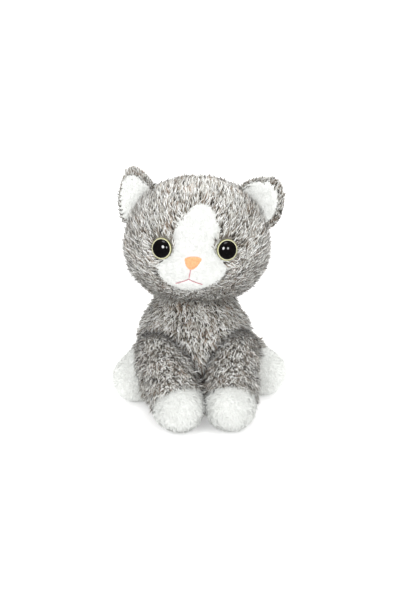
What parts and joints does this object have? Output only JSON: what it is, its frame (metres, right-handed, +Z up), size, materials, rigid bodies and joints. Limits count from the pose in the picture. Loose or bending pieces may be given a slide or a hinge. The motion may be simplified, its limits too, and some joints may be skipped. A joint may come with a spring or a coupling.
{
  "type": "plush cat",
  "caption": "Sitting soft toy cat with a turning, nodding head, folding ears, swinging legs and a curled tail; rests on a flat seat.",
  "frame": {"origin": "on the floor under the middle of the body, in the plane of the seat", "axes": "the cat faces -Y, +X is to the right of someone who looks at its face, +Z is up"},
  "size_m": [0.1192, 0.1264, 0.1601],
  "materials": {
    "grey_plush": "heathered long-pile plush",
    "white_plush": "short-pile plush",
    "stuffing": "polyester fibrefill",
    "pouch_cloth": "plain weave",
    "nose_thread": "satin stitch",
    "mouth_thread": "embroidery thread",
    "black_plastic": "polished",
    "cream_plastic": "polished",
    "washer_plastic": "moulded",
    "pellets": "moulded beads"
  },
  "bodies": {
    "torso": {"body_cover": "grey_plush", "seat_panel": "grey_plush", "body_stuffing": "stuffing", "pellet_pouch": "pouch_cloth", "pellets": "pellets"},
    "neck": {"neck_band": "grey_plush"},
    "head": {"head_cover": "grey_plush", "face_panel": "white_plush", "head_stuffing": "stuffing", "eye_left": "black_plastic", "eye_right": "black_plastic", "eye_ring_left": "cream_plastic", "eye_ring_right": "cream_plastic", "eye_washer_left": "washer_plastic", "eye_washer_right": "washer_plastic", "nose": "nose_thread", "mouth": "mouth_thread"},
    "ear_left": {"ear_back_left": "grey_plush", "ear_lining_left": "white_plush"},
    "ear_right": {"ear_back_right": "grey_plush", "ear_lining_right": "white_plush"},
    "front_leg_left": {"front_leg_cover_left": "grey_plush", "front_paw_cover_left": "white_plush", "front_leg_stuffing_left": "stuffing"},
    "front_leg_right": {"front_leg_cover_right": "grey_plush", "front_paw_cover_right": "white_plush", "front_leg_stuffing_right": "stuffing"},
    "hind_leg_left": {"hind_leg_cover_left": "grey_plush", "hind_paw_cover_left": "white_plush", "hind_leg_stuffing_left": "stuffing"},
    "hind_leg_right": {"hind_leg_cover_right": "grey_plush", "hind_paw_cover_right": "white_plush", "hind_leg_stuffing_right": "stuffing"},
    "tail": {"tail_cover": "grey_plush", "tail_stuffing": "stuffing"}
  },
  "joints": [
    {"name": "head_turn", "type": "hinge", "parent": "torso", "child": "neck", "pos_m": [-0.0026, 0.004, 0.065], "axis": [0, 0, 1], "range_deg": [-23, 37]},
    {"name": "head_nod", "type": "hinge", "parent": "neck", "child": "head", "pos_m": [-0.0026, 0.004, 0.065], "axis": [1, 0, 0], "range_deg": [-10, 12]},
    {"name": "ear_left_fold", "type": "hinge", "parent": "head", "child": "ear_left", "pos_m": [-0.03283, 0.00421, 0.13215], "axis": [0.7119, -0.5038, 0.4893], "range_deg": [-12, 15]},
    {"name": "ear_right_fold", "type": "hinge", "parent": "head", "child": "ear_right", "pos_m": [0.03299, -0.00445, 0.13073], "axis": [0.7342, -0.2619, -0.6264], "range_deg": [-12, 15]},
    {"name": "front_leg_left_lift", "type": "hinge", "parent": "torso", "child": "front_leg_left", "pos_m": [-0.0245, -0.014, 0.041], "axis": [-1, 0, 0], "range_deg": [0, 35]},
    {"name": "front_leg_right_lift", "type": "hinge", "parent": "torso", "child": "front_leg_right", "pos_m": [0.0205, -0.014, 0.041], "axis": [-1, 0, 0], "range_deg": [0, 35]},
    {"name": "hind_leg_left_lift", "type": "hinge", "parent": "torso", "child": "hind_leg_left", "pos_m": [-0.0229, 0.021, 0.029], "axis": [0, 1, 0], "range_deg": [0, 25]},
    {"name": "hind_leg_right_lift", "type": "hinge", "parent": "torso", "child": "hind_leg_right", "pos_m": [0.0281, 0.021, 0.029], "axis": [0, -1, 0], "range_deg": [0, 25]},
    {"name": "tail_swing", "type": "hinge", "parent": "torso", "child": "tail", "pos_m": [0, 0.041, 0.015], "axis": [0, 0, 1], "range_deg": [-10, 35]}
  ]
}
